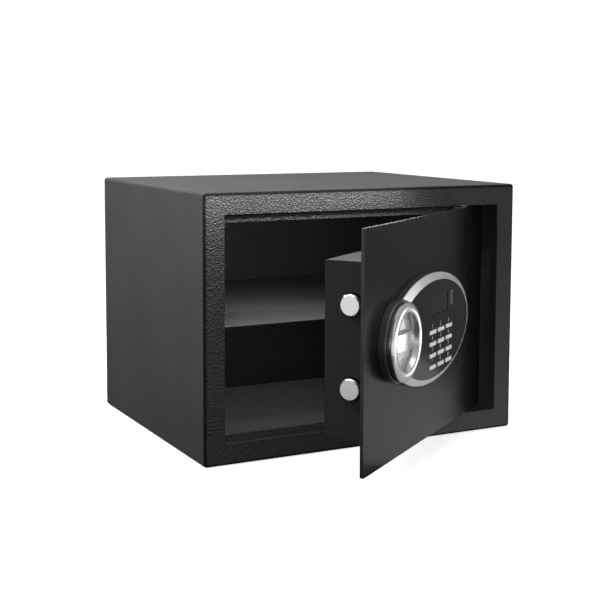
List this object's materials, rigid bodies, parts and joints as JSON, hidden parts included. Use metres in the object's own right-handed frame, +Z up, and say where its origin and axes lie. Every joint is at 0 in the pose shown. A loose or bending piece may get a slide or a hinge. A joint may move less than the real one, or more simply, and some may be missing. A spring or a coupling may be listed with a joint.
{
  "type": "electronic home safe",
  "caption": "Small steel electronic safe, door ajar on inset hinges, with a turning knob that throws live bolts, a keypad fascia, a lock case and a lift-out shelf.",
  "frame": {"origin": "centre of the base's underside", "axes": "+X to the hinge side, +Y to the back, +Z up"},
  "size_m": [0.34, 0.4284, 0.25],
  "materials": {
    "body_paint": "textured hammer-finish powder coat",
    "door_paint": "smooth satin powder coat",
    "silver_plastic": "satin metallic silver paint on plastic",
    "panel_plastic": "glossy black",
    "lens": "glossy dark window",
    "display": "grey display",
    "board": "green circuit board",
    "rubber": "matt",
    "bright_steel": "ground and polished",
    "zinc_steel": "zinc plated",
    "coil_tape": "amber coil tape round an iron frame",
    "cell_wrap": "plain sleeved cell",
    "red_plastic": "satin red",
    "felt": "felt",
    "black_plastic": "matt black"
  },
  "bodies": {
    "cabinet": {"body_shell": "body_paint", "back_panel": "body_paint", "door_stop_top": "body_paint", "door_stop_bottom": "body_paint", "hinge_block_top": "body_paint", "hinge_block_bottom": "body_paint", "shelf_rail_left": "zinc_steel", "shelf_rail_right": "zinc_steel", "floor_mat": "felt"},
    "shelf": {"shelf": "body_paint"},
    "door": {"door_plate": "door_paint", "hinge_lug_top": "door_paint", "hinge_lug_bottom": "door_paint", "hinge_pin_top": "bright_steel", "hinge_pin_bottom": "bright_steel", "lock_case": "door_paint", "case_screw_1": "zinc_steel", "case_screw_2": "zinc_steel", "case_screw_3": "zinc_steel", "case_screw_4": "zinc_steel", "fascia": "silver_plastic", "keypad_panel": "panel_plastic", "display_window": "lens", "display_module": "display", "lamp_lens": "display", "keypad_board": "board", "key_mat": "rubber", "bolt_guide": "zinc_steel", "solenoid_body": "coil_tape", "plunger_spring": "bright_steel", "lock_board": "board", "keypad_cable": "black_plastic", "battery_tray": "black_plastic", "battery_1": "cell_wrap", "battery_2": "cell_wrap", "battery_3": "cell_wrap", "battery_4": "cell_wrap"},
    "battery_cover": {"battery_cover": "black_plastic"},
    "reset_button": {"reset_button": "red_plastic"},
    "plunger": {"solenoid_plunger": "bright_steel"},
    "knob": {"knob": "silver_plastic", "spindle": "bright_steel", "bolt_cam": "zinc_steel", "spindle_clip": "zinc_steel"},
    "bolts": {"bolt_upper": "bright_steel", "bolt_lower": "bright_steel", "bolt_carriage": "zinc_steel"},
    "key_1": {"key_1": "silver_plastic"},
    "key_2": {"key_2": "silver_plastic"},
    "key_3": {"key_3": "silver_plastic"},
    "key_4": {"key_4": "silver_plastic"},
    "key_5": {"key_5": "silver_plastic"},
    "key_6": {"key_6": "silver_plastic"},
    "key_7": {"key_7": "silver_plastic"},
    "key_8": {"key_8": "silver_plastic"},
    "key_9": {"key_9": "silver_plastic"},
    "key_star": {"key_star": "silver_plastic"},
    "key_0": {"key_0": "silver_plastic"},
    "key_hash": {"key_hash": "silver_plastic"}
  },
  "joints": [
    {"name": "door_swing", "type": "hinge", "parent": "cabinet", "child": "door", "pos_m": [0.1134, -0.13, 0.125], "axis": [0, 0, 1], "range_deg": [-36, 64]},
    {"name": "knob_turn", "type": "hinge", "parent": "door", "child": "knob", "pos_m": [-0.042, -0.25279, 0.126], "axis": [0.5878, -0.809, 0], "range_deg": [0, 90]},
    {"name": "bolt_throw", "type": "slide", "parent": "door", "child": "bolts", "axis": [-0.809, -0.5878, 0], "range_m": [0, 0.024]},
    {"name": "plunger_stroke", "type": "slide", "parent": "door", "child": "plunger", "axis": [0, 0, -1], "range_m": [0, 0.007], "stiffness_N_per_m": 300, "deforming": ["plunger_spring"]},
    {"name": "reset_press", "type": "slide", "parent": "door", "child": "reset_button", "axis": [0.5878, -0.809, 0], "range_m": [0, 0.0012], "stiffness_N_per_m": 400},
    {"name": "battery_cover_lift", "type": "slide", "parent": "door", "child": "battery_cover", "axis": [-0.5878, 0.809, 0], "range_m": [0, 0.015]},
    {"name": "shelf_lift", "type": "slide", "parent": "cabinet", "child": "shelf", "axis": [0, 0, 1], "range_m": [0, 0.02]},
    {"name": "key_1_press", "type": "slide", "parent": "door", "child": "key_1", "axis": [-0.5878, 0.809, 0], "range_m": [0, 0.0008], "stiffness_N_per_m": 400},
    {"name": "key_2_press", "type": "slide", "parent": "door", "child": "key_2", "axis": [-0.5878, 0.809, 0], "range_m": [0, 0.0008], "stiffness_N_per_m": 400},
    {"name": "key_3_press", "type": "slide", "parent": "door", "child": "key_3", "axis": [-0.5878, 0.809, 0], "range_m": [0, 0.0008], "stiffness_N_per_m": 400},
    {"name": "key_4_press", "type": "slide", "parent": "door", "child": "key_4", "axis": [-0.5878, 0.809, 0], "range_m": [0, 0.0008], "stiffness_N_per_m": 400},
    {"name": "key_5_press", "type": "slide", "parent": "door", "child": "key_5", "axis": [-0.5878, 0.809, 0], "range_m": [0, 0.0008], "stiffness_N_per_m": 400},
    {"name": "key_6_press", "type": "slide", "parent": "door", "child": "key_6", "axis": [-0.5878, 0.809, 0], "range_m": [0, 0.0008], "stiffness_N_per_m": 400},
    {"name": "key_7_press", "type": "slide", "parent": "door", "child": "key_7", "axis": [-0.5878, 0.809, 0], "range_m": [0, 0.0008], "stiffness_N_per_m": 400},
    {"name": "key_8_press", "type": "slide", "parent": "door", "child": "key_8", "axis": [-0.5878, 0.809, 0], "range_m": [0, 0.0008], "stiffness_N_per_m": 400},
    {"name": "key_9_press", "type": "slide", "parent": "door", "child": "key_9", "axis": [-0.5878, 0.809, 0], "range_m": [0, 0.0008], "stiffness_N_per_m": 400},
    {"name": "key_star_press", "type": "slide", "parent": "door", "child": "key_star", "axis": [-0.5878, 0.809, 0], "range_m": [0, 0.0008], "stiffness_N_per_m": 400},
    {"name": "key_0_press", "type": "slide", "parent": "door", "child": "key_0", "axis": [-0.5878, 0.809, 0], "range_m": [0, 0.0008], "stiffness_N_per_m": 400},
    {"name": "key_hash_press", "type": "slide", "parent": "door", "child": "key_hash", "axis": [-0.5878, 0.809, 0], "range_m": [0, 0.0008], "stiffness_N_per_m": 400}
  ],
  "couplings": [
    {"joint": "knob_turn", "follows": "bolt_throw", "rad_per_m": 65.44}
  ]
}
